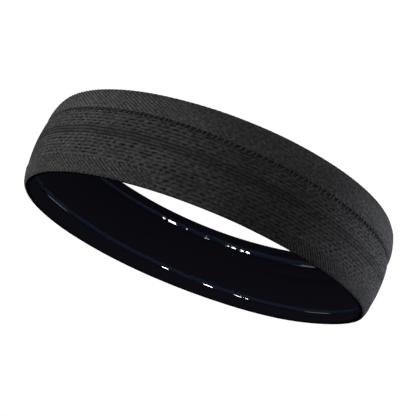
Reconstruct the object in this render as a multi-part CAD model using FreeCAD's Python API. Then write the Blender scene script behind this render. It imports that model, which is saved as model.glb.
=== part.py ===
import FreeCAD, Part
import math
import os

# A knitted sports headband: an endless oval band with a patterned outer knit, a turned hem
# along each edge, a smooth lining and two silicone grip beads on the inside.
# Millimetres, +Z up. The band stands on its lower edge, centred on the Z axis, with the wide
# sides of the oval towards +Y and -Y.
#
# The plan of the band is an oval of four quarter turns: a wide arc on each X side and a
# tighter arc at each Y end, which meet where they both face 45 degrees. Every ring is drawn as
# one closed section in the X-Z plane and turned through those four arcs in succession, so that
# neighbouring rings share the same surfaces and every layer keeps its thickness.

# Driving dimensions of the band
BAND_HEIGHT = 35.0        # lower edge to upper edge
HALF_WIDTH = 74.5         # outside of the band along X, at its edges
HALF_DEPTH = 84.0         # outside of the band along Y, at its edges
CROWN = 2.9               # how far mid-height stands outside the edges, along X

# Layers, as depths below the outside of the band
OUTER_PLY = 0.4           # outside ply of a turned hem
POCKET_END = 0.9          # far side of the hem's pocket, which holds the elastic
KNIT_THICKNESS = 1.2      # the whole outer knit
BAND_THICKNESS = 2.1      # outer knit and lining together

# Edges of the band
EDGE_ROUND = 0.8          # rounding of the hem's fold
LINING_LIP = 0.3          # thickness of the lining's lip over the fold
LINING_ROUND = 0.6        # rounding of the lining's inner corners

# Heights of the pieces above the lower edge
LOWER_HEM_TOP = 10.4
GROOVE_TOP = 11.5
UPPER_HEM_BOTTOM = 28.0
HEM_PUFF = 0.35           # how far the lower hem swells between the edge and the groove
HEM_SHOULDER = 0.3        # rounding of the lower hem where it dips into the groove
TONGUE_DEPTH = 1.4        # how far the panel's edges reach into the hems
POCKET_FLOOR = 1.3        # from an edge of the band to its hem's pocket
ELASTIC_GAP = 0.3         # from the elastic to the panel's tongue

# Small pieces
RIB_YARN_RADIUS = 0.25
RIB_YARN_SINK = 0.15      # depth of a yarn's centre below the panel's face
RIB_YARN_HEIGHTS = (18.6, 19.8, 21.0)
STITCH_HEIGHT = 0.9
STITCH_PROUD = 0.3
BEAD_WIDTH = 2.2
BEAD_PROUD = 0.6
LOWER_BEAD_HEIGHT = 4.9
UPPER_BEAD_HEIGHT = 27.5

MID_HEIGHT = BAND_HEIGHT / 2
CROWN_RADIUS = (MID_HEIGHT ** 2 + CROWN ** 2) / (2 * CROWN)
CROWN_CENTRE = HALF_WIDTH + CROWN - CROWN_RADIUS
# Each arc's centre is this far from the Z axis: the side arcs' along X, the end arcs' along Y
ARC_OFFSET = (HALF_DEPTH - HALF_WIDTH) / (2 - math.sqrt(2))
UP = FreeCAD.Vector(0, 0, 1)


def at(depth, height):
    """The point of the section at that depth below the crowned outside."""
    reach = math.sqrt((CROWN_RADIUS - depth) ** 2 - (height - MID_HEIGHT) ** 2)
    return FreeCAD.Vector(CROWN_CENTRE + reach, 0, height)


def line(start, end):
    return Part.makeLine(start, end)


def arc(start, middle, end):
    return Part.Arc(start, middle, end).toShape()


def crowned(depth, from_height, to_height):
    """An arc of the section that follows the crown at one depth."""
    middle = at(depth, (from_height + to_height) / 2)
    return arc(at(depth, from_height), middle, at(depth, to_height))


def rounded(start, corner, end):
    """A quarter round from start to end that would meet in a sharp corner."""
    centre = start + end - corner
    outward = (corner - centre).normalize()
    radius = (start.distanceToPoint(centre) + end.distanceToPoint(centre)) / 2
    return arc(start, centre + outward * radius, end)


def moved(point, along_x, along_z):
    return FreeCAD.Vector(point.x + along_x, 0, point.z + along_z)


def ring(edges):
    """The solid that a closed section makes round the oval."""
    side_centre = FreeCAD.Vector(-ARC_OFFSET, 0, 0)
    end_centre = FreeCAD.Vector(0, ARC_OFFSET, 0)
    start = Part.Face(Part.Wire(Part.__sortEdges__(edges)))
    start.rotate(side_centre, UP, -45)
    side = start.revolve(side_centre, UP, 90)
    start.rotate(side_centre, UP, 90)
    end = start.revolve(end_centre, UP, 90)
    other_side = side.copy()
    other_side.rotate(FreeCAD.Vector(0, 0, 0), UP, 180)
    other_end = end.copy()
    other_end.rotate(FreeCAD.Vector(0, 0, 0), UP, 180)
    return side.fuse([end, other_side, other_end]).removeSplitter().Solids[0]


def flipped(point, is_upper):
    """The point itself, or its mirror image about mid-height for the upper hem."""
    if is_upper:
        return FreeCAD.Vector(point.x, 0, BAND_HEIGHT - point.z)
    return point


def hem(hem_top, puff, shoulder, is_upper):
    """A ply of knit folded over into a U: outside ply, fold and inside ply round a pocket.
    It is drawn as a lower hem that ends at hem_top, and mirrored for the upper one."""
    def p(depth, height):
        return flipped(at(depth, height), is_upper)

    def q(point):
        return flipped(point, is_upper)

    fold_outside = at(0, EDGE_ROUND)
    fold_bottom = FreeCAD.Vector(fold_outside.x - EDGE_ROUND, 0, 0)
    fold_corner = FreeCAD.Vector(fold_outside.x, 0, 0)
    lip_step = moved(fold_bottom, 0, LINING_LIP)
    inner_step = at(KNIT_THICKNESS, LINING_LIP)
    shoulder_outside = at(0, hem_top - shoulder)
    shoulder_top = moved(at(0, hem_top), -shoulder, 0)
    swell = moved(at(0, (EDGE_ROUND + hem_top - shoulder) / 2), puff, 0)

    edges = [
        arc(q(fold_outside), q(swell), q(shoulder_outside)),
        line(q(shoulder_top), p(OUTER_PLY, hem_top)),
        line(p(OUTER_PLY, POCKET_FLOOR), p(POCKET_END, POCKET_FLOOR)),
        line(p(POCKET_END, hem_top), p(KNIT_THICKNESS, hem_top)),
        line(q(inner_step), q(lip_step)),
        line(q(lip_step), q(fold_bottom)),
        rounded(q(fold_bottom), q(fold_corner), q(fold_outside)),
    ]
    layers = ((OUTER_PLY, POCKET_FLOOR), (POCKET_END, POCKET_FLOOR), (KNIT_THICKNESS, LINING_LIP))
    for depth, low in layers:
        middle = (low + hem_top) / 2
        edges.append(arc(p(depth, low), p(depth, middle), p(depth, hem_top)))
    if shoulder > 0:
        corner = at(0, hem_top)
        edges.append(rounded(q(shoulder_outside), q(corner), q(shoulder_top)))
    return ring(edges)


def hem_elastic(hem_top, is_upper):
    """The flat elastic tape that fills a hem's pocket as far as the panel's tongue."""
    low = POCKET_FLOOR
    high = hem_top - TONGUE_DEPTH - ELASTIC_GAP
    if is_upper:
        low, high = BAND_HEIGHT - high, BAND_HEIGHT - low
    return ring([
        crowned(OUTER_PLY, low, high),
        line(at(OUTER_PLY, high), at(POCKET_END, high)),
        crowned(POCKET_END, low, high),
        line(at(POCKET_END, low), at(OUTER_PLY, low)),
    ])


def yarn_channel(height):
    """The hollow of the panel's face that one rib yarn lies in, and its two ends."""
    centre = at(RIB_YARN_SINK, height)
    face_x = at(0, height).x
    half_mouth = math.sqrt(RIB_YARN_RADIUS ** 2 - (face_x - centre.x) ** 2)
    low = at(0, height - half_mouth)
    high = at(0, height + half_mouth)
    bottom = moved(centre, -RIB_YARN_RADIUS, 0)
    return arc(low, bottom, high), low, high


def mesh_panel():
    """The open-work middle of the outer knit. A thin tongue along each edge reaches into
    that edge's hem, and three channels in its face hold the rib yarns."""
    tongue_low = LOWER_HEM_TOP - TONGUE_DEPTH
    tongue_high = UPPER_HEM_BOTTOM + TONGUE_DEPTH
    edges = [
        crowned(OUTER_PLY, tongue_low, GROOVE_TOP),
        line(at(OUTER_PLY, GROOVE_TOP), at(0, GROOVE_TOP)),
        line(at(0, UPPER_HEM_BOTTOM), at(OUTER_PLY, UPPER_HEM_BOTTOM)),
        crowned(OUTER_PLY, UPPER_HEM_BOTTOM, tongue_high),
        line(at(OUTER_PLY, tongue_high), at(POCKET_END, tongue_high)),
        crowned(POCKET_END, UPPER_HEM_BOTTOM, tongue_high),
        line(at(POCKET_END, UPPER_HEM_BOTTOM), at(KNIT_THICKNESS, UPPER_HEM_BOTTOM)),
        crowned(KNIT_THICKNESS, LOWER_HEM_TOP, UPPER_HEM_BOTTOM),
        line(at(KNIT_THICKNESS, LOWER_HEM_TOP), at(POCKET_END, LOWER_HEM_TOP)),
        crowned(POCKET_END, tongue_low, LOWER_HEM_TOP),
        line(at(POCKET_END, tongue_low), at(OUTER_PLY, tongue_low)),
    ]
    reached = at(0, GROOVE_TOP)
    for height in RIB_YARN_HEIGHTS:
        channel, low, high = yarn_channel(height)
        edges.append(arc(reached, at(0, (reached.z + low.z) / 2), low))
        edges.append(channel)
        reached = high
    end = at(0, UPPER_HEM_BOTTOM)
    edges.append(arc(reached, at(0, (reached.z + end.z) / 2), end))
    return ring(edges)


def rib_yarn(height):
    """A covered elastic yarn, round in section, that lies in its channel of the panel."""
    channel, low, high = yarn_channel(height)
    crest = moved(at(RIB_YARN_SINK, height), RIB_YARN_RADIUS, 0)
    return ring([channel, arc(low, crest, high)])


def link_stitch():
    """The seam thread in the groove, as one low ring over the panel's tongue."""
    middle = (LOWER_HEM_TOP + GROOVE_TOP) / 2
    low = middle - STITCH_HEIGHT / 2
    high = middle + STITCH_HEIGHT / 2
    crest = moved(at(OUTER_PLY, middle), STITCH_PROUD, 0)
    return ring([crowned(OUTER_PLY, low, high), arc(at(OUTER_PLY, low), crest, at(OUTER_PLY, high))])


def lining():
    """The smooth inner face. A thin lip at each edge turns outward over the hem's fold, and
    the band rests on the lower lip."""
    edges = [crowned(KNIT_THICKNESS, LINING_LIP, BAND_HEIGHT - LINING_LIP)]
    inner_low = at(BAND_THICKNESS, LINING_ROUND)
    inner_high = at(BAND_THICKNESS, BAND_HEIGHT - LINING_ROUND)
    edges.append(arc(inner_low, at(BAND_THICKNESS, MID_HEIGHT), inner_high))
    for is_upper in (False, True):
        lip_end = moved(at(0, EDGE_ROUND), -EDGE_ROUND, -EDGE_ROUND)
        lip_step = moved(lip_end, 0, LINING_LIP)
        corner = FreeCAD.Vector(inner_low.x, 0, 0)
        rest_end = moved(corner, LINING_ROUND, 0)
        points = [at(KNIT_THICKNESS, LINING_LIP), lip_step, lip_end, rest_end, corner, inner_low]
        root, step, end, rest, sharp, inside = [flipped(point, is_upper) for point in points]
        edges += [line(root, step), line(step, end), line(end, rest), rounded(rest, sharp, inside)]
    return ring(edges)


def grip_bead(height):
    """A raised silicone bead that was laid on the lining all the way round."""
    low = height - BEAD_WIDTH / 2
    high = height + BEAD_WIDTH / 2
    crest = moved(at(BAND_THICKNESS, height), -BEAD_PROUD, 0)
    return ring([
        crowned(BAND_THICKNESS, low, high),
        arc(at(BAND_THICKNESS, low), crest, at(BAND_THICKNESS, high)),
    ])


def build():
    upper_hem_height = BAND_HEIGHT - UPPER_HEM_BOTTOM
    yarns = [rib_yarn(height) for height in RIB_YARN_HEIGHTS]
    return {
        "lower_hem": hem(LOWER_HEM_TOP, HEM_PUFF, HEM_SHOULDER, False),
        "upper_hem": hem(upper_hem_height, 0, 0, True),
        "lower_hem_elastic": hem_elastic(LOWER_HEM_TOP, False),
        "upper_hem_elastic": hem_elastic(upper_hem_height, True),
        "mesh_panel": mesh_panel(),
        "rib_yarns": Part.makeCompound(yarns),
        "link_stitch_thread": link_stitch(),
        "inner_lining": lining(),
        "lower_grip_bead": grip_bead(LOWER_BEAD_HEIGHT),
        "upper_grip_bead": grip_bead(UPPER_BEAD_HEIGHT),
    }


os.makedirs("parts", exist_ok=True)
for node, shape in build().items():
    shape.exportStep("parts/" + node + ".step")
    box = shape.BoundBox
    print(node, shape.ShapeType, "valid", shape.isValid(), "volume", round(shape.Volume, 1),
          "z", round(box.ZMin, 3), round(box.ZMax, 3), "x", round(box.XMax, 3), "y", round(box.YMax, 3))
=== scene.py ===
"""A knitted sports headband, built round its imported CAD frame.

Lengths are in millimetres until a mesh is made. A place on the band is given by three numbers:
how far round the oval it lies, how far it stands outside the crown line (the widest line of the
band, at mid-height), and its height above the lower edge.
"""

import bpy
import numpy as np
from mathutils import Matrix, Quaternion, Vector


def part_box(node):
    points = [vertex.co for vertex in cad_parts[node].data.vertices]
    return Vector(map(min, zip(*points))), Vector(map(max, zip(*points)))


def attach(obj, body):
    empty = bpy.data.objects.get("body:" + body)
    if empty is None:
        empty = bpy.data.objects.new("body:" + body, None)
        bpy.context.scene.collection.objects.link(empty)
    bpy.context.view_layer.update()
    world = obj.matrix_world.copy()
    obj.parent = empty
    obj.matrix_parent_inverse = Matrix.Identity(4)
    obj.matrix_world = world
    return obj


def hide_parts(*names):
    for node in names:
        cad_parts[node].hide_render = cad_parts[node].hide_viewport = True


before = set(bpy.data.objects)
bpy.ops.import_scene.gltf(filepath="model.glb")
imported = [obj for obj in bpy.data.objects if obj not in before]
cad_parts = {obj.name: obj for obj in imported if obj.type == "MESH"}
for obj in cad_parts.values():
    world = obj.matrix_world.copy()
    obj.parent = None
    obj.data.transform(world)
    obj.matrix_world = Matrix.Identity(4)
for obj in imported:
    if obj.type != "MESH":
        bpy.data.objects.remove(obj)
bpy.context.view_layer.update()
MM = 0.001
TAU = 2 * np.pi


# ---------------------------------------------------------------- sizes

def span(node):
    """The lowest and highest height of a CAD node."""
    low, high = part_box(node)
    return low.z / MM, high.z / MM


BAND_TOP = span("inner_lining")[1]
MID_HEIGHT = BAND_TOP / 2
HALF_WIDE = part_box("mesh_panel")[1].x / MM
HALF_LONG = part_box("mesh_panel")[1].y / MM
HEM_TOP = span("lower_hem")[1]
PANEL_TOP = span("upper_hem")[0]
LOWER_TAPE = span("lower_hem_elastic")
UPPER_TAPE = span("upper_hem_elastic")
TONGUE = span("mesh_panel")
YARN_SPAN = span("rib_yarns")
STITCH_MIDDLE = sum(span("link_stitch_thread")) / 2
LOWER_BEAD = sum(span("lower_grip_bead")) / 2
UPPER_BEAD = sum(span("upper_grip_bead")) / 2

# The band's section. A depth is measured inward from the crowned outer face
CROWN = 2.9               # how far mid-height stands outside the edges
OUTER_PLY = 0.4           # depth of the outside ply of a hem
POCKET_END = 0.9          # depth of the far side of a hem's pocket
KNIT_DEPTH = 1.2          # depth where the knit ends and the lining starts
BAND_DEPTH = 2.1          # depth of the lining's inner face
GROOVE_TOP = 11.5         # height where the panel comes up out of the seam's groove
EDGE_ROUND = 0.8          # rounding of a hem at the band's edge
LIP = 0.3                 # thickness of the lining's lip
LINING_ROUND = 0.6        # rounding of the lining at the band's edge
POCKET_FLOOR = 1.3        # height where a hem's pocket starts
SHOULDER = 0.5            # rounding of the lower hem where it dips into the groove
SHOULDER_PLY = 0.05       # cloth behind that rounding
PANEL_ROUND = 0.3         # rounding of the panel where it dips into the groove
TAPE_GAP = 0.12           # gap between a hem's outside ply and its tape
TONGUE_GAP = 0.15         # and between that ply and the panel's tongue
YARN_RADIUS = 0.25
YARN_DEPTH = 0.42
YARN_PITCH = (YARN_SPAN[1] - YARN_SPAN[0] - 2 * YARN_RADIUS) / 2
YARNS = [YARN_SPAN[0] + YARN_RADIUS + n * YARN_PITCH for n in range(3)]
FACE_TURN = (0.3, 0.7)    # how far outward a section's normal points where its face is outside
FACE_DEPTH = (0.25, 0.38)    # and how deep such a face ends

# How the soft band differs from a true ring. A place round it is (facing, width, size): where it
# faces and how wide it is, in degrees from +X, and how much the band strays there
DRIFT = -1.5              # the knit's lines run this much lower at +X and higher at -X
LOWER_HOLD = (0.8, 9)     # heights over which the lower edge lets go of the knit's lines
UPPER_HOLD = (BAND_TOP - 7.5, BAND_TOP - 0.5)    # and over which the upper edge takes hold
LEAN = (0.8, 0.65)        # how far the upper edge stands towards +X and +Y of the lower edge
LOWER_LOBES = 0.45        # how far the lower edge stands in and out of the oval
UPPER_LOBES = 0.45        # how far the upper edge is drawn out along X and in along Y
TOP_RISE = 0.3            # how far the upper edge rises and falls
CORNER_REACH = (207, 20, 0.9)     # where the upper edge stands further out, past its -X end
CORNER_DIP = (168, 22, 0.9)       # where it lies lower, before that end
SEAM_LINE = STITCH_MIDDLE - 0.1
SEAM_STRAYS = ((-95, 18, 0.5), (-62, 12, -0.4))    # where the seam runs higher or lower
SEAM_SOFT = 3.0           # how far from the seam the cloth strays with it
CREASE = 0.40             # how deep the band is drawn in along the seam at its -X end
CREASE_WIDTH = 1.6
SLOW_SWAY = 0.10          # how far the band wanders in and out, in long waves and in short ones
QUICK_SWAY = 0.04

CROWN_RADIUS = (MID_HEIGHT ** 2 + CROWN ** 2) / (2 * CROWN)
MEAN_REACH = (HALF_WIDE + HALF_LONG) / 2
SWING = (HALF_LONG - HALF_WIDE) / 2
LOOP = TAU * MEAN_REACH   # length round the crown line
BACK = LOOP / 4           # where every ring starts and ends


# ---------------------------------------------------------------- the oval and the crown

def facing(along):
    """The direction, in radians from +X, that the band faces at a length along the crown line."""
    angles = np.linspace(-0.1, TAU + 0.1, 4001)
    lengths = MEAN_REACH * angles + 1.5 * SWING * np.sin(2 * angles)
    turns = np.floor(along / LOOP)
    return np.interp(along - turns * LOOP, lengths, angles) + TAU * turns


def crown(height, depth=0.0):
    """How far the crowned layer at that depth stands outside the crown line. Negative is inside."""
    rise = np.clip(height - MID_HEIGHT, -MID_HEIGHT, MID_HEIGHT)
    return np.sqrt((CROWN_RADIUS - depth) ** 2 - rise ** 2) - CROWN_RADIUS


def smooth(low, high, value):
    """0 to 1 as value goes from low to high, with a soft start and end."""
    t = np.clip((value - low) / (high - low), 0, 1)
    return t * t * (3 - 2 * t)


def waves(seed, count, lowest, highest, steep):
    """A smooth wandering function of the place on the band, from about -1 to 1, that joins up
    after one turn. lowest and highest are its waves per turn, and steep its change with height."""
    rng = np.random.default_rng(seed)
    turns = rng.integers(lowest, highest + 1, count)
    slopes = rng.normal(0, steep, count)
    starts = rng.uniform(0, TAU, count)

    def value(angle, height):
        total = 0
        for n, slope, start in zip(turns, slopes, starts):
            total = total + np.cos(n * angle + slope * height + start)
        return total / np.sqrt(count)
    return value


def near(angle, centre, width, size):
    """size where the band faces centre, in degrees from +X, and less with the angle from there."""
    away = (angle - np.radians(centre) + np.pi) % TAU - np.pi
    return size * np.exp(-(away / np.radians(width)) ** 2)


def plus_x(angle, start, end):
    """0 to 1 as the band turns to face +X, between two cosines of its angle from there."""
    return smooth(start, end, np.cos(angle))


def minus_x(angle, start, end):
    """The same as the band turns to face -X."""
    return smooth(start, end, -np.cos(angle))


def fullness(angle):
    """1 at the -X end, where the lower hem is slack and full, and 0 on the rest of the band."""
    return minus_x(angle, 0.35, 0.85)


def stretch(angle):
    """How clearly the twill shows: 1 or more towards the +X end, where the cloth is stretched,
    and little on the rest of the band."""
    return 0.3 + 0.7 * plus_x(angle, 0.3, 0.75) + 0.35 * plus_x(angle, 0.83, 0.96)


def openness(angle):
    """How open the mesh is: 1 or more towards the +X end, and less on the rest of the band."""
    return 0.6 + 0.4 * plus_x(angle, 0.1, 0.6) + 0.4 * plus_x(angle, 0.83, 0.96)


sway_slow = waves(3, 4, 3, 6, 0.03)
sway_quick = waves(5, 6, 9, 19, 0.08)


def settle(along, out, height):
    """Where a point of the true ring lies on the soft band, in metres. Every layer is settled
    the same way, so no layer cuts another."""
    angle = facing(along)
    inside_edges = smooth(*LOWER_HOLD, height) * (1 - smooth(*UPPER_HOLD, height))
    settled = height + DRIFT * np.cos(angle) * inside_edges
    by_seam = np.exp(-((height - SEAM_LINE) / SEAM_SOFT) ** 2)
    for stray in SEAM_STRAYS:
        settled = settled + near(angle, *stray) * by_seam * inside_edges
    out = out + crown(settled) - crown(height)
    out = out - CREASE * fullness(angle) * np.exp(-((height - SEAM_LINE) / CREASE_WIDTH) ** 2)
    upward = settled / BAND_TOP
    lower = -LEAN[0] / 2 * np.cos(angle) - LOWER_LOBES * (
        np.sin(2 * angle) - np.cos(3 * angle) + np.sin(3 * angle))
    upper = (LEAN[0] / 2 * np.cos(angle) + LEAN[1] * np.sin(angle) + UPPER_LOBES * np.cos(2 * angle)
             + near(angle, *CORNER_REACH))
    out = out + lower * (1 - upward) + upper * upward
    settled = settled + (TOP_RISE * np.sin(2 * angle) - near(angle, *CORNER_DIP)) * upward
    out = out + SLOW_SWAY * sway_slow(angle, settled) + QUICK_SWAY * sway_quick(angle, settled)
    reach = MEAN_REACH - SWING * np.cos(2 * angle) + out
    slide = 2 * SWING * np.sin(2 * angle)
    x = reach * np.cos(angle) - slide * np.sin(angle)
    y = reach * np.sin(angle) + slide * np.cos(angle)
    return np.stack(np.broadcast_arrays(x, y, settled), -1) * MM


# ---------------------------------------------------------------- sections

def layer(depth, start, end, step):
    """Points of a section up or down one crowned layer."""
    count = max(2, int(round(abs(end - start) / step)) + 1)
    height = np.linspace(start, end, count)
    return np.stack([crown(height, depth), height], -1)


def corner(start, tip, end, count):
    """Points of a section round a corner, from start to end, that would meet at tip."""
    t = np.linspace(0, np.pi / 2, count)[:, None]
    start, tip, end = (np.array(p, float) for p in (start, tip, end))
    centre = start + end - tip
    return centre + (start - centre) * np.cos(t) + (end - centre) * np.sin(t)


def closed(*parts):
    """One closed section from its parts, with no point twice."""
    points = np.concatenate([np.atleast_2d(part) for part in parts])
    gap = np.linalg.norm(points - np.roll(points, 1, 0), axis=1)
    return points[gap > 1e-4]


def mirrored(section):
    """The section of a lower piece turned into that of an upper one."""
    turned = section[::-1].copy()
    turned[:, 1] = BAND_TOP - turned[:, 1]
    return turned


def outside(section, normal):
    """1 where a section's point lies on the outer face of the band or round the fold of its
    edge, and 0 where it is hidden."""
    height = section[:, 1]
    depth = crown(height) - section[:, 0]
    flat = smooth(*FACE_TURN, normal[:, 0]) * (1 - smooth(*FACE_DEPTH, depth))
    edgeward = np.where(height < MID_HEIGHT, -1, 1) * normal[:, 1]
    on_fold = np.minimum(height, BAND_TOP - height) < EDGE_ROUND
    return np.where(on_fold & (normal[:, 0] + edgeward > FACE_TURN[0]), 1, flat)


# ---------------------------------------------------------------- meshes

def make_object(name, points, faces, uv, attributes, material):
    """A smooth-shaded mesh object. uv has one row per face corner, in millimetres of cloth."""
    mesh = bpy.data.meshes.new(name)
    mesh.vertices.add(len(points))
    mesh.vertices.foreach_set("co", points.astype(np.float32).ravel())
    mesh.loops.add(faces.size)
    mesh.loops.foreach_set("vertex_index", faces.astype(np.int32).ravel())
    mesh.polygons.add(len(faces))
    mesh.polygons.foreach_set("loop_start", np.arange(len(faces), dtype=np.int32) * faces.shape[1])
    mesh.update(calc_edges=True)
    mesh.uv_layers.new(name="cloth").data.foreach_set("uv", uv.astype(np.float32).ravel())
    for label, values in attributes.items():
        made = mesh.attributes.new(label, "FLOAT", "POINT")
        made.data.foreach_set("value", values.astype(np.float32).ravel())
    mesh.polygons.foreach_set("use_smooth", np.ones(len(faces), bool))
    mesh.validate()
    mesh.materials.append(material)
    piece = bpy.data.objects.new(name, mesh)
    bpy.context.scene.collection.objects.link(piece)
    return piece


def grid_faces(rows, columns, wrap_rows, wrap_columns):
    """Quads of a grid of points, which may close on itself either way. Returns the corners'
    point numbers, and their row and column numbers before closing."""
    row, column = np.meshgrid(np.arange(rows - (not wrap_rows)),
                              np.arange(columns - (not wrap_columns)), indexing="ij")
    rows_at = np.stack([row, row, row + 1, row + 1], -1).reshape(-1, 4)
    columns_at = np.stack([column, column + 1, column + 1, column], -1).reshape(-1, 4)
    return (rows_at % rows) * columns + columns_at % columns, rows_at, columns_at


def ring(name, section, columns, material, relief=None):
    """A closed ring round the band. relief(along, height, sheet, face) gives how far the cloth's
    own pattern stands out, and its tone with painted shade, from 0 in its hollows to about 1 on its
    crests. sheet is the height measured over the cloth, which goes on round a fold, and face is 1
    outside."""
    along = BACK + np.arange(columns) * LOOP / columns
    edge = np.roll(section, -1, 0) - np.roll(section, 1, 0)
    normal = np.stack([edge[:, 1], -edge[:, 0]], -1) / np.linalg.norm(edge, axis=1)[:, None]
    girth = np.append(0, np.cumsum(np.linalg.norm(np.roll(section, -1, 0) - section, axis=1)))
    grid_along = np.broadcast_to(along, (len(section), columns))
    lift, tone = np.zeros(grid_along.shape), np.ones(grid_along.shape)
    if relief:
        face = outside(section, normal)
        weights = face + 0.001    # never all zero, for a piece that is wholly inside
        sheet = girth[:-1] + np.average(section[:, 1] - girth[:-1], weights=weights)
        lift, tone = relief(grid_along, section[:, 1:], sheet[:, None], face[:, None])
    out = section[:, :1] + lift * normal[:, :1]
    height = section[:, 1:] + lift * normal[:, 1:]
    points = settle(grid_along, out, height)
    faces, rows_at, columns_at = grid_faces(len(section), columns, True, True)
    uv = np.stack([columns_at * LOOP / columns, girth[rows_at]], -1)
    return make_object(name, points.reshape(-1, 3), faces, uv, {"tone": tone}, material)


def tube(name, strands, sides, material):
    """Round threads as one piece. Each strand is (points, radii, tones) of a loop that closes."""
    all_points, all_faces, all_uv, all_tones, first = [], [], [], [], 0
    for path, radii, tones in strands:
        ahead = np.roll(path, -1, 0) - np.roll(path, 1, 0)
        ahead /= np.linalg.norm(ahead, axis=1)[:, None]
        outward = path * (1, 1, 0)
        outward -= (outward * ahead).sum(1)[:, None] * ahead
        outward /= np.linalg.norm(outward, axis=1)[:, None]
        sideways = np.cross(outward, ahead)
        turn = np.arange(sides) * TAU / sides
        points = (path[None] + radii[None, :, None] * (np.cos(turn)[:, None, None] * outward[None]
                  + np.sin(turn)[:, None, None] * sideways[None]))
        faces, rows_at, columns_at = grid_faces(sides, len(path), True, True)
        step = np.linalg.norm(np.roll(path, -1, 0) - path, axis=1) / MM
        length = np.append(0, np.cumsum(step))
        uv = np.stack([length[columns_at], rows_at * TAU * radii.mean() / MM / sides], -1)
        all_points.append(points.reshape(-1, 3))
        all_faces.append(faces[:, ::-1] + first)
        all_uv.append(uv[:, ::-1])
        all_tones.append(np.tile(tones, sides))
        first += points.shape[0] * points.shape[1]
    return make_object(name, np.concatenate(all_points), np.concatenate(all_faces),
                       np.concatenate(all_uv), {"tone": np.concatenate(all_tones)}, material)


# ---------------------------------------------------------------- the cloth's own relief

def fitted(pitch, length=LOOP):
    """The pitch nearest to the wanted one that goes a whole number of times into a length."""
    return length / round(length / pitch)


# The hems' twill
TWILL_RELIEF = 0.34
TWILL_FLOAT = 2.1         # length of one yarn's float along a twill rib
FLOAT_STEP = 0.37         # how far on the floats of the next rib start, in floats
FLOAT_LIGHT = 0.12        # how much lighter or darker one float is than another
FLOAT_ENDS = 0.15         # how far a float sinks at its ends
RIB_SHAPE = 1.8           # 1 would be a sharp ridge
RIB_WANDER = 0.09
RIB_LEVEL = 0.6           # the height on a rib that lies on the band's surface
RIB_MEAN = 0.64           # mean of a rib's height
RIB_HOLLOW_SHADE = 0.43           # painted shade: tone between two ribs
LOWER_TWILL = (np.radians(32), 1.18)    # slope of the ribs from the band's length, and pitch
UPPER_TWILL = (np.radians(28), 1.03)
SLACK_TWILL = (np.radians(45), 1.05)    # the upper hem's twill towards -X
LOWER_STRENGTH = 1.15     # how strongly each hem's ribs show, and the slack ones' share
UPPER_STRENGTH = 1.6
SLACK_STRENGTH = 0.55

# The hems' own shape
FULLEST = 4.6             # height where the lower hem swells most
SWELL_REACH = HEM_TOP - 4.2             # how far from there its swell ends
SWELL_START = 2.5         # height over which it rises from the edge
SWELL_SHAPE = 2.2         # 1 would be a sharp ridge
PUFF = 0.35               # how far it swells out
SLACK_PUFF = 0.35         # how much further at the -X end
UNEVEN_PUFF = 0.08        # and how much that varies
HEM_GROOVE = 0.15         # how far the hem sinks in the seam's groove
PANEL_GROOVE = 0.2        # and how far the panel does
UPPER_FULLEST = BAND_TOP - 3.4          # the same for the upper hem
UPPER_REACH = 3.0
UPPER_SWELL = 0.15
CREASE_PAINTED_SHADE = 0.28       # how much painted shade darkens the lower hem up to the crease
CREASE_SPAN = (5, 10.5)   # heights over which it gets darker
UPPER_PAINTED_SHADE = 0.22        # how much painted shade darkens the upper hem towards -X

# The panel's open mesh
TWILL_START = PANEL_TOP + 1.8           # height where the mesh turns to the upper hem's twill
MESH_FACE = np.radians(86)              # where, on each long side, the mesh runs up over the hem
MESH_REACH = (0.45, 0.36)               # half its width, in radians, at the hem's start and edge
MESH_EDGE = 0.01          # half the width, in radians, over which the mesh turns to twill
MESH_SWAY = 0.06          # how far the courses wander up and down
ROW_PITCH = 1.27          # height of one course of the panel outside its rib yarns
COURSE_RELIEF = 0.05
COURSE_PAINTED_SHADE = 0.14       # painted shade: how much lighter the crest of a course is than its hollow
LOOP_LIGHT = 0.18         # how much lighter or darker one loop of yarn is than another
EYE_PITCH = fitted(3.5)   # length from one eye of the mesh to the next in its course
EYES = round(LOOP / EYE_PITCH)
EYE_HALF_LENGTH = 1.2
EYE_HALF_HEIGHT = 0.27
EYE_RELIEF = 0.40
EYE_SLANT = 0.10          # how much an eye rises along its length
EYE_WANDER = 0.12         # how far neighbouring eyes shift together, in pitches
EYE_SHIFT = 0.30          # how far one eye is out of place along its course, and across it
EYE_RISE = 0.05
EYE_DEPTH = (0.8, 0.35)   # an eye's mean depth, and how much that varies
EYE_UNEVEN = 0.22         # how much an eye's length varies
RUN_WIDTH = 0.26          # half-width of the line between two courses, sunk and dark with painted shade
RUN_UNEVEN = 0.25         # how much the line's depth varies
RUN_DEPTH = 0.08
YARN_RUN = (0.42, 0.25)   # its depth beside the rib yarns, and how much stretch adds
YARN_EYES = 0.85          # how deep the eyes are there
YARN_SHADE = 0.22         # how much darker the cloth is there

# The seam
STITCH_PITCH = fitted(2.1)
STITCH_SWING = 0.85       # how far a stitch reaches to each side of the seam's line
STITCH_SHOWN = 0.6        # how much of a stitch's length its stroke on the outside takes
SEAM_SHADE_TONE = 0.75          # painted shade: tone of the cloth down in the seam's groove
SEAM_FAINT = 0.7          # how much lighter it is from the middle of the band on
SEAM_DRAWN = 0.8          # how much darker where the seam is drawn in, before -X
SEAM_LIGHT = 0.8          # mean of its uneven tone
SEAM_UNEVEN = (0.5, 0.3)  # how uneven it is, and how much less towards -X
SEAM_TONES = (0.1, 1.4)   # its darkest and lightest
GROOVE_SIDE = (0.35, 0.95)              # how far from the seam's line the groove's sides rise

# Inside the band
HIDDEN_SHADE_TONE = 0.7         # painted shade: tone of the cloth inside the band
WALE_PITCH = fitted(1.5)
WALE_RELIEF = 0.02
BRAID_PITCH = fitted(2.6)
BRAID_RELIEF = 0.05
BRAID_SHADE_TONE = 0.65         # painted shade: tone between two of its yarns

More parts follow.
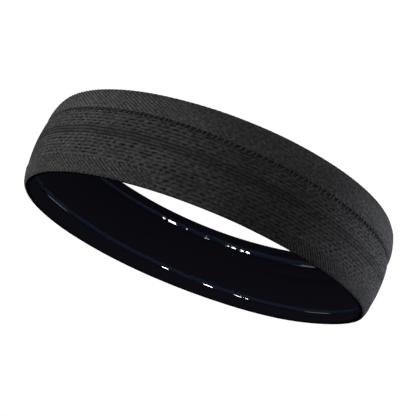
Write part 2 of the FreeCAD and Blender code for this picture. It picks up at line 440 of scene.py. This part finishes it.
twill_wander = waves(11, 8, 20, 60, 0.4)
mesh_wander = waves(12, 8, 20, 60, 0.3)
puff_wander = waves(13, 5, 2, 9, 0.0)
stitch_wander = waves(14, 14, 130, 400, 0.6)
pitch_wander = waves(15, 8, 50, 110, 0.0)


def uneven(seed, row, column):
    """An even random number from -1 to 1 for each whole row and column."""
    table = np.random.default_rng(seed).uniform(-1, 1, (64, EYES))
    return table[row.astype(int) % 64, column.astype(int) % EYES]


def twill(along, sheet, slope, pitch):
    """Twill ribs that rise towards smaller lengths along the band. Returns how high the cloth
    stands, from 0 to 1, and how light each float of yarn is, about 1."""
    pitch = fitted(pitch, LOOP * np.sin(slope))
    across = along * np.sin(slope) + sheet * np.cos(slope)
    across = (across + RIB_WANDER * twill_wander(facing(along), sheet)) / pitch
    rib = np.floor(across)
    down = (sheet * np.sin(slope) - along * np.cos(slope)) / TWILL_FLOAT + FLOAT_STEP * rib
    yarn = np.floor(down)
    rounded = 1 - np.abs(2 * (across - rib) - 1) ** RIB_SHAPE
    ends = 1 - FLOAT_ENDS * np.abs(2 * (down - yarn) - 1) ** 4
    return rounded * ends, 1 + FLOAT_LIGHT * uneven(61, rib, yarn)


def mesh_rows(along, height):
    """The panel's courses. Returns the number of the nearest line between two courses, counted
    from the middle rib yarn, and how far above it a point lies."""
    height = height - YARNS[1] + MESH_SWAY * mesh_wander(facing(along), height)
    beyond = np.sign(height) * np.maximum(np.abs(height) - YARN_PITCH, 0)
    place = (height - beyond) / YARN_PITCH + beyond / ROW_PITCH
    row = np.round(place)
    return row, (place - row) * ROW_PITCH


def mesh_eyes(along, row, rise):
    """How deep the mesh's eyes are, from 0 to 1.15, and how light each loop of yarn is."""
    wander = EYE_WANDER * mesh_wander(facing(along), 9 * row)
    place = along / EYE_PITCH + 0.5 * (row % 2) + wander
    eye = np.floor(place)
    reach = (place - eye - 0.5) * EYE_PITCH + EYE_SHIFT * uneven(51, row, eye)
    rise = rise - EYE_SLANT * reach + EYE_RISE * uneven(52, row, eye)
    depth = EYE_DEPTH[0] + EYE_DEPTH[1] * uneven(53, row, eye)
    half_length = EYE_HALF_LENGTH * (1 + EYE_UNEVEN * uneven(54, row, eye))
    hollow = depth * np.exp(-np.abs(reach / half_length) ** 4 - (rise / EYE_HALF_HEIGHT) ** 2)
    loop = np.floor(2 * along / EYE_PITCH + 0.5)
    return hollow, 1 + LOOP_LIGHT * uneven(55, row + 7 * np.sign(rise), loop)


def beside_seam(height):
    """0 in the seam's groove and 1 clear of it."""
    return smooth(*GROOVE_SIDE, np.abs(height - SEAM_LINE))


def seam_shade_level(angle):
    """How light the painted shade in the seam's groove is: darker towards +X, faint in the middle,
    and drawn in before -X.
    """
    drawn = minus_x(angle, 0.35, 0.6) * minus_x(angle, 0.95, 0.75)
    return SEAM_SHADE_TONE + SEAM_FAINT * minus_x(angle, -0.45, 0) - SEAM_DRAWN * drawn


def seam_shade_tone(along, height):
    """How light the cloth is beside and down in the groove, where the stitches draw it in: painted
    shade, uneven along the seam.
    """
    angle = facing(along)
    uneven_by = SEAM_UNEVEN[0] - SEAM_UNEVEN[1] * minus_x(angle, 0, 0.4)
    deep = seam_shade_level(angle) * (SEAM_LIGHT + uneven_by * stitch_wander(angle, height))
    deep = np.clip(deep, *SEAM_TONES)
    return deep + (1 - deep) * beside_seam(height)


def twill_tone_and_shade(ribs, light, strength):
    """The tone of a twill whose ribs show with a strength from 0 to 1 or more, with painted shade
    between its ribs.
    """
    return (RIB_HOLLOW_SHADE + (1 - RIB_HOLLOW_SHADE) * (RIB_MEAN + (ribs - RIB_MEAN) * strength)) * light


def twill_lift(ribs, fold, strength):
    """How far a twill stands out. fold is 1 round the band's edge, where its ribs only sink."""
    return TWILL_RELIEF * (ribs - (RIB_LEVEL + (1 - RIB_LEVEL) * fold)) * strength


def knit_mesh(along, height):
    """The panel's open mesh. Returns how far the cloth stands out, and its tone, with painted shade
    in its eyes and between its courses.
    """
    row, rise = mesh_rows(along, height)
    hollow, light = mesh_eyes(along, row, rise)
    angle = facing(along)
    by_yarns = np.abs(row) < 1.5
    line = np.exp(-(rise / RUN_WIDTH) ** 2) * (1 + RUN_UNEVEN * mesh_wander(angle, 9 * row))
    run = np.where(by_yarns, YARN_RUN[0] + YARN_RUN[1] * stretch(angle), RUN_DEPTH)
    holes = np.maximum(np.where(by_yarns, YARN_EYES, 1) * hollow, run * line) * openness(angle)
    ridge = 0.5 - 0.5 * np.cos(TAU * rise / ROW_PITCH)
    lift = COURSE_RELIEF * (ridge - 0.5) - EYE_RELIEF * holes
    # painted shade: darker down in the eyes and lines, lighter on each course's crest
    crest = 1 - COURSE_PAINTED_SHADE + COURSE_PAINTED_SHADE * ridge
    return lift, (1 - np.clip(holes, 0, 1)) * crest * light * (1 - YARN_SHADE * by_yarns)


def over_hem(angle, height):
    """1 where the open mesh runs up over the upper hem, and 0 where the hem is twill."""
    aside = np.abs(np.abs((angle + np.pi) % TAU - np.pi) - MESH_FACE)
    reach = np.interp(height, (PANEL_TOP, BAND_TOP), MESH_REACH)
    return np.maximum(smooth(MESH_EDGE, -MESH_EDGE, aside - reach), height < TWILL_START)


def shown(face, tone):
    """A tone where the cloth is outside, and the hidden cloth's painted shade where it isn't."""
    return HIDDEN_SHADE_TONE * (1 - face) + face * tone


def lower_hem_relief(along, height, sheet, face):
    """The lower hem: a full, soft roll of twill that dips into the seam's groove."""
    ribs, light = twill(along, sheet, *LOWER_TWILL)
    angle = facing(along)
    away = np.abs((height - FULLEST) / SWELL_REACH)
    swell = np.clip(1 - away ** SWELL_SHAPE, 0, 1) * smooth(0, SWELL_START, height)
    puff = PUFF + SLACK_PUFF * fullness(angle) + UNEVEN_PUFF * puff_wander(angle, 0)
    fold = 1 - smooth(0, EDGE_ROUND, height)
    strength = LOWER_STRENGTH * stretch(angle)
    clear = beside_seam(height)
    lift = swell * puff + twill_lift(ribs, fold, strength) * clear - HEM_GROOVE * (1 - clear)
    # painted shade: the lower hem darker up to the crease towards -X
    shade = CREASE_PAINTED_SHADE * minus_x(angle, 0.5, 0.75) * smooth(*CREASE_SPAN, height)
    tone = twill_tone_and_shade(ribs, light, strength) * seam_shade_tone(along, height) * (1 - shade)
    return face * lift, shown(face, tone)


def upper_hem_relief(along, height, sheet, face):
    """The upper hem: a flatter twill, with the mesh that runs up over it on the long sides."""
    angle = facing(along)
    slack = minus_x(angle, 0, 0.28)
    ribs, light = twill(along, sheet, *UPPER_TWILL)
    slack_ribs = twill(along, sheet, *SLACK_TWILL)[0]
    ribs = ribs + slack * (slack_ribs - ribs)
    strength = UPPER_STRENGTH * stretch(angle) + SLACK_STRENGTH * slack * minus_x(angle, 0.65, 0.5)
    swell = UPPER_SWELL * np.clip(1 - ((height - UPPER_FULLEST) / UPPER_REACH) ** 2, 0, 1)
    fold = smooth(BAND_TOP - EDGE_ROUND, BAND_TOP, height)
    rib_lift = twill_lift(ribs, fold, strength)
    rib_tone = twill_tone_and_shade(ribs, light, strength)
    mesh_lift, mesh_tone = knit_mesh(along, height)
    mesh = over_hem(angle, height)
    lift = swell + rib_lift + mesh * (mesh_lift * (1 - fold) - rib_lift)
    tone = rib_tone + mesh * (mesh_tone - rib_tone)
    # painted shade: the upper hem darker towards -X
    tone = tone * (1 - UPPER_PAINTED_SHADE * minus_x(angle, 0.5, 0.9))
    return face * lift, shown(face, tone)


def panel_relief(along, height, sheet, face):
    """The panel: open mesh that dips into the seam's groove."""
    lift, tone = knit_mesh(along, height)
    lift = lift - PANEL_GROOVE * (1 - beside_seam(height))
    return face * lift, shown(face, tone * seam_shade_tone(along, height))


def lining_relief(along, height, sheet, face):
    """Fine wales on the lining's inner side."""
    wales = np.cos(TAU * along / WALE_PITCH) * (1 - face)
    return WALE_RELIEF * wales, 0.5 + 0.5 * wales


def tape_relief(along, height, sheet, face):
    """Flat braid: yarns that cross on a slant over ribs of covered rubber, with painted shade
    between the yarns.
    """
    one = np.cos(TAU * (along / BRAID_PITCH + height / 2))
    other = np.cos(TAU * (along / BRAID_PITCH - height / 2))
    braid = np.maximum(one, other)
    return BRAID_RELIEF * braid, BRAID_SHADE_TONE + (1 - BRAID_SHADE_TONE) * braid


# ---------------------------------------------------------------- materials

def new_material(name, colour, roughness, **settings):
    """A Principled material. Returns it with its node tree, its shader and the cloth's
    coordinates, in millimetres."""
    material = bpy.data.materials.new(name)
    material.use_nodes = True
    tree = material.node_tree
    shader = tree.nodes["Principled BSDF"]
    shader.inputs["Base Color"].default_value = (*colour, 1)
    shader.inputs["Roughness"].default_value = roughness
    for socket, value in settings.items():
        shader.inputs[socket.replace("_", " ")].default_value = value
    place = tree.nodes.new("ShaderNodeUVMap")
    place.uv_map = "cloth"
    return material, tree, shader, place.outputs["UV"]


def add(tree, kind, inputs, **settings):
    """One node, with its settings and its inputs set or linked, and its first output."""
    node = tree.nodes.new(kind)
    for label, value in settings.items():
        setattr(node, label, value)
    for socket, value in inputs.items():
        if isinstance(value, bpy.types.NodeSocket):
            tree.links.new(value, node.inputs[socket])
        else:
            node.inputs[socket].default_value = value
    return node.outputs[0]


def scaled(tree, place, along, across):
    """Cloth coordinates times a scale along the band and one across it."""
    return add(tree, "ShaderNodeMapping", {0: place, 3: (along, across, 1)})


def noise(tree, place, along, across, detail=3.0):
    """Noise with about that many spots to a millimetre along the band and across it."""
    return add(tree, "ShaderNodeTexNoise",
               {"Vector": scaled(tree, place, along, across), "Scale": 1.0, "Detail": detail})


def between(tree, value, low, high, start=0.0, end=1.0):
    """low to high as a value goes from start to end."""
    return add(tree, "ShaderNodeMapRange", {0: value, 1: start, 2: end, 3: low, 4: high})


def times(tree, a, b):
    """One value times another."""
    return add(tree, "ShaderNodeMath", {0: a, 1: b}, operation="MULTIPLY")


def tinted(tree, colour, factor):
    """A colour times a varying factor."""
    return add(tree, "ShaderNodeVectorMath", {0: colour, "Scale": factor}, operation="SCALE")


def tone_of(tree):
    """The tone that the mesh carries, painted shade included, as a node socket."""
    return add(tree, "ShaderNodeAttribute", {}, attribute_name="tone").node.outputs["Fac"]


def knit_material(name, colour):
    """Matt yarn-dyed knit: dark in the hollows of its weave with painted shade from its tone,
    flecked, with a fibre bump.
    """
    material, tree, shader, place = new_material(name, colour, 0.9, Specular_IOR_Level=0.03)
    hollow = between(tree, tone_of(tree), 0.04, 1.19, 0.0, 1.2)
    fleck = between(tree, noise(tree, place, 0.75, 1.3, 3.0), 0.5, 1.5, 0.3, 0.7)
    cloudy = between(tree, noise(tree, place, 0.05, 0.16, 2.0), 0.9, 1.1, 0.3, 0.7)
    factor = times(tree, times(tree, hollow, fleck), cloudy)
    tree.links.new(tinted(tree, colour, factor), shader.inputs["Base Color"])
    fibres = noise(tree, place, 5.0, 9.0, 5.0)
    tree.links.new(between(tree, fibres, 0.8, 1.0), shader.inputs["Roughness"])
    bump = add(tree, "ShaderNodeBump", {"Strength": 0.5, "Distance": 0.0001, "Height": fibres})
    tree.links.new(bump, shader.inputs["Normal"])
    return material


def lining_material():
    """Smooth, fine, nearly black knit without any sheen."""
    colour = (0.0073, 0.0070, 0.0112)
    material, tree, shader, place = new_material(
        "lining_knit", colour, 0.7, Specular_IOR_Level=0.0)
    stitch = add(tree, "ShaderNodeTexWave", {"Vector": scaled(tree, place, 2.2, 0), "Scale": 1.0},
                 wave_type="BANDS", bands_direction="X")
    grain = noise(tree, place, 4.0, 4.0, 4.0)
    factor = times(tree, between(tree, grain, 0.75, 1.25), between(tree, stitch, 0.9, 1.1))
    tree.links.new(tinted(tree, colour, factor), shader.inputs["Base Color"])
    tree.links.new(between(tree, grain, 0.6, 0.8), shader.inputs["Roughness"])
    bump = add(tree, "ShaderNodeBump", {"Strength": 0.3, "Distance": 0.00005, "Height": grain})
    tree.links.new(bump, shader.inputs["Normal"])
    return material


def silicone_material():
    """Glossy, slightly cloudy, dark blue silicone."""
    colour = (0.012, 0.018, 0.034)
    material, tree, shader, place = new_material(
        "silicone", colour, 0.04, IOR=1.41, Specular_IOR_Level=0.5)
    cloudy = noise(tree, place, 0.8, 0.8, 2.0)
    tree.links.new(between(tree, cloudy, 0.03, 0.05), shader.inputs["Roughness"])
    factor = between(tree, cloudy, 0.85, 1.15)
    tree.links.new(tinted(tree, colour, factor), shader.inputs["Base Color"])
    ripple = noise(tree, place, 0.5, 0.8, 1.0)
    bump = add(tree, "ShaderNodeBump", {"Strength": 0.01, "Distance": 0.0001, "Height": ripple})
    tree.links.new(bump, shader.inputs["Normal"])
    return material


def thread_material(name, colour):
    """Twisted thread: diagonal plies along each strand."""
    material, tree, shader, place = new_material(name, colour, 0.85, Specular_IOR_Level=0.05)
    turned = add(tree, "ShaderNodeMapping", {0: place, 2: (0, 0, 0.9), 3: (1, 1, 1)})
    plies = add(tree, "ShaderNodeTexWave", {"Vector": turned, "Scale": 0.8, "Distortion": 0.5})
    fleck = between(tree, noise(tree, place, 3, 3), 0.8, 1.2)
    # the tone carries painted light and shade
    factor = times(tree, times(tree, between(tree, plies, 0.7, 1.2), fleck), tone_of(tree))
    tree.links.new(tinted(tree, colour, factor), shader.inputs["Base Color"])
    tree.links.new(between(tree, plies, 0.9, 0.75), shader.inputs["Roughness"])
    bump = add(tree, "ShaderNodeBump", {"Strength": 0.6, "Distance": 0.0001, "Height": plies})
    tree.links.new(bump, shader.inputs["Normal"])
    return material


def floor_material():
    """A matt, evenly lit white."""
    material = bpy.data.materials.new("floor")
    material.use_nodes = True
    shader = material.node_tree.nodes["Principled BSDF"]
    shader.inputs["Base Color"].default_value = (0.5, 0.5, 0.5, 1)
    shader.inputs["Roughness"].default_value = 0.9
    shader.inputs["Specular IOR Level"].default_value = 0.1
    shader.inputs["Emission Color"].default_value = (1, 1, 1, 1)
    shader.inputs["Emission Strength"].default_value = 1.0
    return material


# ---------------------------------------------------------------- pieces

def placed(piece, node):
    """Seats a piece on the band and lets it stand for its CAD node."""
    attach(piece, "root")
    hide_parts(node)


def hem_section(hem_top, shoulder, step):
    """A folded hem with its pocket, drawn as a lower one that ends at hem_top, with a rounded
    shoulder there. step is the distance between points of its outer face."""
    edge_x = float(crown(EDGE_ROUND))
    lip_x = edge_x - EDGE_ROUND
    top_x = float(crown(hem_top))
    shoulder_points = [(top_x, hem_top)]
    if shoulder:
        shoulder_points = corner((float(crown(hem_top - shoulder)), hem_top - shoulder),
                                 (top_x, hem_top), (top_x - shoulder, hem_top), 5)
    return closed(
        corner((lip_x, 0), (edge_x, 0), (edge_x, EDGE_ROUND), 6),
        layer(0, EDGE_ROUND, hem_top - shoulder, step),
        shoulder_points,
        layer(max(OUTER_PLY, shoulder + SHOULDER_PLY), hem_top, POCKET_FLOOR, 3),
        layer(POCKET_END, POCKET_FLOOR, hem_top, 3),
        layer(KNIT_DEPTH, hem_top, LIP, 3),
        [(lip_x, LIP)],
    )


def hem_tape_section(low, high):
    """A flat tape that fills a hem's pocket between two heights."""
    step = 0.45
    return closed(layer(OUTER_PLY + TAPE_GAP, low, high, step), layer(POCKET_END, high, low, step))


def panel_section():
    """The panel between the hems, thin where it runs under them as a tongue."""
    tongue_low, tongue_high = TONGUE
    face_start = GROOVE_TOP + PANEL_ROUND
    return closed(
        layer(OUTER_PLY + TONGUE_GAP, tongue_low, GROOVE_TOP, 2),
        corner((float(crown(GROOVE_TOP, OUTER_PLY)), GROOVE_TOP),
               (float(crown(GROOVE_TOP)), GROOVE_TOP),
               (float(crown(face_start)), face_start), 4),
        layer(0, face_start, PANEL_TOP, 0.2),
        layer(OUTER_PLY, PANEL_TOP, tongue_high, 3),
        layer(POCKET_END, tongue_high, PANEL_TOP, 3),
        layer(KNIT_DEPTH, PANEL_TOP, HEM_TOP, 4),
        layer(POCKET_END, HEM_TOP, tongue_low, 3),
    )


def lining_section():
    """The lining, with a lip turned outward over each edge of the knit."""
    edge_x = float(crown(EDGE_ROUND)) - EDGE_ROUND
    rim_x = float(crown(LINING_ROUND, BAND_DEPTH))
    lower = [
        corner((rim_x, LINING_ROUND), (rim_x, 0), (rim_x + LINING_ROUND, 0), 5),
        [(edge_x, 0), (edge_x, LIP)],
    ]
    upper = [mirrored(np.atleast_2d(part)) for part in lower[::-1]]
    return closed(
        *lower,
        layer(KNIT_DEPTH, LIP, BAND_TOP - LIP, 3),
        *upper,
        layer(BAND_DEPTH, BAND_TOP - LINING_ROUND, LINING_ROUND, 0.55),
    )


YARN_TWIST = fitted(1.4)  # length of one turn of a rib yarn's cover
YARN_LUMP = 0.10


def rib_yarns(material):
    """Three covered yarns round the middle of the panel, each slightly lumpy with its twist."""
    columns = 1500
    along = BACK + np.arange(columns) * LOOP / columns
    angle = facing(along)
    radii = YARN_RADIUS * (1 + YARN_LUMP * np.cos(TAU * along / YARN_TWIST)) * MM
    strands = []
    for height in YARNS:
        place = height - MESH_SWAY * mesh_wander(angle, height)
        path = settle(along, crown(place) - YARN_DEPTH, place)
        strands.append((path, radii, np.ones(columns)))
    return tube("rib_yarns_knit", strands, 8, material)


STITCH_POINTS = 14        # points of the thread to a stitch
STITCH_SHIFT = 0.4        # how far the stitches crowd and spread along the seam
STITCH_UNEVEN = 0.18      # how much a stitch's reach varies
STITCH_SINK = 0.32        # depth of a stroke at its middle
STITCH_ENDS = 0.2         # how much deeper it goes in at its ends
STITCH_UNDER = 0.8        # and how much deeper the thread passes behind the cloth
THREAD_RADIUS = 0.29 * MM
STRAIGHT_RADIUS = 0.18 * MM
STRAIGHT_DEPTH = 0.5
THREAD_TONES = (0.6, 1.7)    # darkest and lightest tone of the thread
THREAD_PAINTED_LIGHT = 0.35        # painted light: how much lighter the sunk thread is towards -X


def link_stitches(material):
    """The thread that links the hem to the panel: slanting strokes over the groove, each of
    which goes back through the cloth to the next, and a straight thread deep in the groove."""
    count = round(LOOP / STITCH_PITCH)
    step = np.arange(count * STITCH_POINTS)
    along = BACK + step * STITCH_PITCH / STITCH_POINTS
    along = along + STITCH_SHIFT * pitch_wander(facing(along), 0)
    angle = facing(along)
    phase = (step % STITCH_POINTS + 0.5) / STITCH_POINTS
    going = np.clip(phase / STITCH_SHOWN, 0, 1)
    coming = np.clip((phase - STITCH_SHOWN) / (1 - STITCH_SHOWN), 0, 1)
    swing = STITCH_SWING * (1 + STITCH_UNEVEN * stitch_wander(angle, 0))
    height = SEAM_LINE + swing * (2 * smooth(0, 1, going) - 2 * smooth(0, 1, coming) - 1)
    ends = STITCH_ENDS * np.abs(2 * going - 1) ** 3 * (going < 1)
    sink = STITCH_SINK + ends + STITCH_UNDER * np.sin(np.pi * coming)
    over = settle(along, crown(height) - sink, height)
    flat = settle(along, crown(STITCH_MIDDLE) - STRAIGHT_DEPTH, np.full(len(along), STITCH_MIDDLE))
    # painted light and shade: the thread follows the groove's painted shade, lighter where it is
    # faint and towards -X
    pale = THREAD_PAINTED_LIGHT * minus_x(angle, 0.2, 0.5)
    tones = np.clip(seam_shade_level(angle) / SEAM_SHADE_TONE + pale, *THREAD_TONES)
    strands = [(path, np.full(len(along), radius), tones)
               for path, radius in ((over, THREAD_RADIUS), (flat, STRAIGHT_RADIUS))]
    return tube("link_stitches", strands, 8, material)


BEAD_HALF_WIDTH = (span("lower_grip_bead")[1] - span("lower_grip_bead")[0]) / 2
BEAD_PROUD = 0.55
BEAD_SUNK = 0.03          # how far its back sits in the lining
BEAD_END = 1.1            # length over which an end of it rounds off
BEAD_LAP = 3.0            # length over which a bead's end runs beside its start
BEAD_STEP = 0.35          # how far each end lies to its own side of the bead's line
BEAD_RETURN = (2, 14)     # lengths from an end over which the bead comes back to that line
BEAD_RIPPLE = 0.025       # how much its size varies, in short waves and in long ones
BEAD_SWELL = 0.03
BEAD_WANDER = 0.08        # how far it strays from its line


def grip_bead(name, height, start, seed, material):
    """A bead of silicone laid from start once round the lining, past its own start."""
    columns = 1300
    length = LOOP + BEAD_LAP
    gone = np.linspace(0, length, columns)
    along = start + gone
    left = length - gone
    to_end = np.clip(np.minimum(gone, left) / BEAD_END, 0.02, 1)
    blunt = np.sqrt(1 - (1 - to_end) ** 2)
    ripple = waves(seed, 10, 15, 50, 0)(facing(along), 0)
    slow = waves(seed + 1, 5, 3, 12, 0)(facing(along), 0)
    size = (1 + BEAD_RIPPLE * ripple + BEAD_SWELL * slow) * blunt
    side = BEAD_STEP * (smooth(*BEAD_RETURN, gone) - smooth(*BEAD_RETURN, left))
    path = height + side + BEAD_WANDER * slow
    dome = np.linspace(0, np.pi, 14)
    across = np.append(np.cos(dome), [-0.5, 0.5]) * BEAD_HALF_WIDTH
    proud = np.append(np.sin(dome), [0, 0]) * BEAD_PROUD
    heights = path + across[:, None] * size
    outs = crown(heights, BAND_DEPTH) - proud[:, None] * size + BEAD_SUNK
    points = settle(np.broadcast_to(along, heights.shape), outs, heights)
    faces, rows_at, columns_at = grid_faces(len(across), columns, True, False)
    uv = np.stack([gone[columns_at], rows_at * 0.4], -1)
    low = np.arange(len(across) // 2 - 1)
    high = len(across) - 1 - low
    cap = np.stack([low, low + 1, high - 1, high], -1) * columns
    faces = np.concatenate([faces, cap, cap[:, ::-1] + columns - 1])
    uv = np.concatenate([uv, np.zeros((2 * len(cap), 4, 2))])
    return make_object(name, points.reshape(-1, 3), faces, uv,
                       {"tone": np.ones(heights.size)}, material)


hem_knit = knit_material("hem_knit", (0.0302, 0.0302, 0.0314))
# painted shade: the upper hem's knit is the lower hem's knit made darker
shaded_upper_hem_knit = knit_material("shaded_upper_hem_knit", (0.0224, 0.0224, 0.0231))
mesh_knit = knit_material("mesh_knit", (0.0225, 0.0225, 0.023))
tape_knit = knit_material("hem_elastic", (0.02, 0.02, 0.02))
lining_knit = lining_material()
silicone = silicone_material()
yarn_thread = thread_material("rib_yarn", (0.008, 0.008, 0.008))
seam_thread = thread_material("seam_thread", (0.02, 0.02, 0.0205))

upper_hem_height = BAND_TOP - PANEL_TOP
lower_hem = ring("lower_hem_twill", hem_section(HEM_TOP, SHOULDER, 0.24), 1560, hem_knit,
                 lower_hem_relief)
upper_hem = ring("upper_hem_twill", mirrored(hem_section(upper_hem_height, 0, 0.22)), 1700,
                 shaded_upper_hem_knit, upper_hem_relief)
panel = ring("mesh_panel_knit", panel_section(), 1020, mesh_knit, panel_relief)
lining = ring("inner_lining_knit", lining_section(), 1000, lining_knit, lining_relief)
lower_tape = ring("lower_elastic_tape", hem_tape_section(*LOWER_TAPE), 1300, tape_knit,
                  tape_relief)
upper_tape = ring("upper_elastic_tape", hem_tape_section(*UPPER_TAPE), 1300, tape_knit,
                  tape_relief)
yarns = rib_yarns(yarn_thread)
stitches = link_stitches(seam_thread)
bead_start = LOOP * 0.273    # at the back, just past where the rings start
lower_bead = grip_bead("lower_silicone_bead", LOWER_BEAD, bead_start, 31, silicone)
upper_bead = grip_bead("upper_silicone_bead", UPPER_BEAD, bead_start, 41, silicone)

for piece, node, slot in (
    (lower_hem, "lower_hem", "hem_knit"),
    (upper_hem, "upper_hem", "hem_knit"),
    (panel, "mesh_panel", "mesh_knit"),
    (lining, "inner_lining", "lining_knit"),
    (lower_tape, "lower_hem_elastic", "hem_elastic"),
    (upper_tape, "upper_hem_elastic", "hem_elastic"),
    (yarns, "rib_yarns", "rib_yarn"),
    (stitches, "link_stitch_thread", "seam_thread"),
    (lower_bead, "lower_grip_bead", "silicone"),
    (upper_bead, "upper_grip_bead", "silicone"),
):
    placed(piece, node)


# ---------------------------------------------------------------- stage, light and camera

def lamp(name, place, aim, size, power, lit, in_gloss=False, colour=(1, 1, 1), tilt=0.0):
    """A soft lamp at place, in metres, that shines at aim and lights only the pieces in lit:
    only their gloss where in_gloss is true, and all but their gloss where it is false. tilt
    turns the lamp about the line to its aim."""
    data = bpy.data.lights.new(name, "AREA")
    data.shape = "RECTANGLE"
    data.size, data.size_y = size
    data.energy = power
    data.color = colour
    made = bpy.data.objects.new(name, data)
    bpy.context.scene.collection.objects.link(made)
    made.location = place
    made.rotation_mode = "QUATERNION"
    faced = (Vector(aim) - Vector(place)).to_track_quat("-Z", "Y")
    made.rotation_quaternion = faced @ Quaternion((0, 0, 1), tilt)
    made.visible_glossy = in_gloss
    made.visible_diffuse = not in_gloss
    receivers = bpy.data.collections.new(name)
    for piece in lit:
        receivers.objects.link(piece)
    made.light_linking.receiver_collection = receivers


STRIP_HEIGHT = 0.7
STRIP_POWER = 200         # watts to a square metre of a strip of brightness 1
STRIP_LEAN = -0.27        # how far a strip leans, as a share of its azimuth


def glint_lamps(bead, height, rise, strips):
    """Tall strip lights that only a bead mirrors, 1 m from its middle at the back of the band and
    raised by an angle. Each is (azimuth from the front towards +X, width, brightness), with both
    angles in degrees, and leans outward as the bead's round face mirrors it."""
    aim = Vector((0, HALF_LONG, height)) * MM
    for number, (azimuth, width, brightness) in enumerate(strips):
        turn = np.radians(azimuth)
        away = Vector((np.sin(turn) * np.cos(rise), -np.cos(turn) * np.cos(rise), np.sin(rise)))
        size = (np.radians(width), STRIP_HEIGHT)
        power = STRIP_POWER * brightness * size[0] * size[1]
        lamp(f"{bead.name}_glint_{number}", aim + away, aim, size, power, [bead], in_gloss=True,
             tilt=STRIP_LEAN * turn)


def make_floor():
    """A floor so wide that its edge is never in view."""
    mesh = bpy.data.meshes.new("floor")
    half = 60.0
    mesh.from_pydata([(-half, -half, 0), (half, -half, 0), (half, half, 0), (-half, half, 0)],
                     [], [(0, 1, 2, 3)])
    mesh.materials.append(floor_material())
    made = bpy.data.objects.new("floor", mesh)
    bpy.context.scene.collection.objects.link(made)
    made.visible_glossy = False


def make_camera(azimuth, elevation, roll, distance, aim, lens):
    """A camera that looks at aim from a direction off the band's middle, turned about its own
    axis by roll. Lengths are in millimetres, with the lens for a sensor 36 mm wide."""
    back = Vector((np.sin(azimuth) * np.cos(elevation), -np.cos(azimuth) * np.cos(elevation),
                   np.sin(elevation)))
    middle = Vector((0, 0, MID_HEIGHT))
    place = (middle + back * distance) * MM
    toward = (Vector(aim) * MM - place).normalized()
    turned = toward.to_track_quat("-Z", "Y").to_matrix() @ Matrix.Rotation(roll, 3, "Z")
    data = bpy.data.cameras.new("camera")
    data.lens = lens
    data.sensor_width = 36
    data.clip_start = 0.01
    made = bpy.data.objects.new("camera", data)
    bpy.context.scene.collection.objects.link(made)
    made.matrix_world = Matrix.Translation(place) @ turned.to_4x4()
    bpy.context.scene.camera = made


def make_world():
    """A pale studio: white walls round the floor and a dim ceiling, which no gloss mirrors."""
    world = bpy.data.worlds.new("studio")
    world.use_nodes = True
    tree = world.node_tree
    place = tree.nodes.new("ShaderNodeTexCoord")
    split = tree.nodes.new("ShaderNodeSeparateXYZ")
    tree.links.new(place.outputs["Generated"], split.inputs[0])
    level = between(tree, split.outputs["Z"], low=1.0, high=0.06, start=0.12, end=0.35)
    tree.links.new(level, tree.nodes["Background"].inputs["Strength"])
    tree.nodes["Background"].inputs["Color"].default_value = (1, 1, 1, 1)
    world.cycles_visibility.glossy = False
    bpy.context.scene.world = world


make_floor()
# The band stands the other way up from how it is pictured, so the roll is over half a turn
make_camera(azimuth=np.radians(5.71), elevation=np.radians(14.09), roll=np.radians(202.21),
            distance=412.7, aim=(0.94, 0, 12.53), lens=83.75)
make_world()
outer_pieces = [lower_hem, upper_hem, panel, yarns, stitches, lower_tape, upper_tape]
band_middle = (0, 0, 0.02)
lamp("left_light", place=(0.98, 0.0, 0.35), aim=band_middle, size=(0.5, 0.35), power=27,
     lit=outer_pieces)
lamp("right_light", place=(-0.93, 0.32, 0.07), aim=band_middle, size=(0.5, 0.12), power=48,
     lit=outer_pieces, colour=(0.9, 0.93, 1))
glint_lamps(lower_bead, LOWER_BEAD, rise=np.radians(33), strips=(
    (-31.5, 3, 0.7), (-23, 4, 1.5), (-7, 1.5, 0.3), (13, 1.5, 0.2), (37.5, 1, 0.5),
    (41.8, 2.2, 0.7), (50, 1.8, 1.2), (55.3, 1.8, 1.6), (110, 9, 0.03)))
glint_lamps(upper_bead, UPPER_BEAD, rise=np.radians(22), strips=(
    (-5.5, 2.4, 1.5), (34, 6.5, 2.5), (57.5, 1.5, 2), (64, 1.5, 2.2), (-120, 20, 0.025),
    (131, 20, 0.025)))
bpy.context.scene.view_settings.view_transform = "Standard"
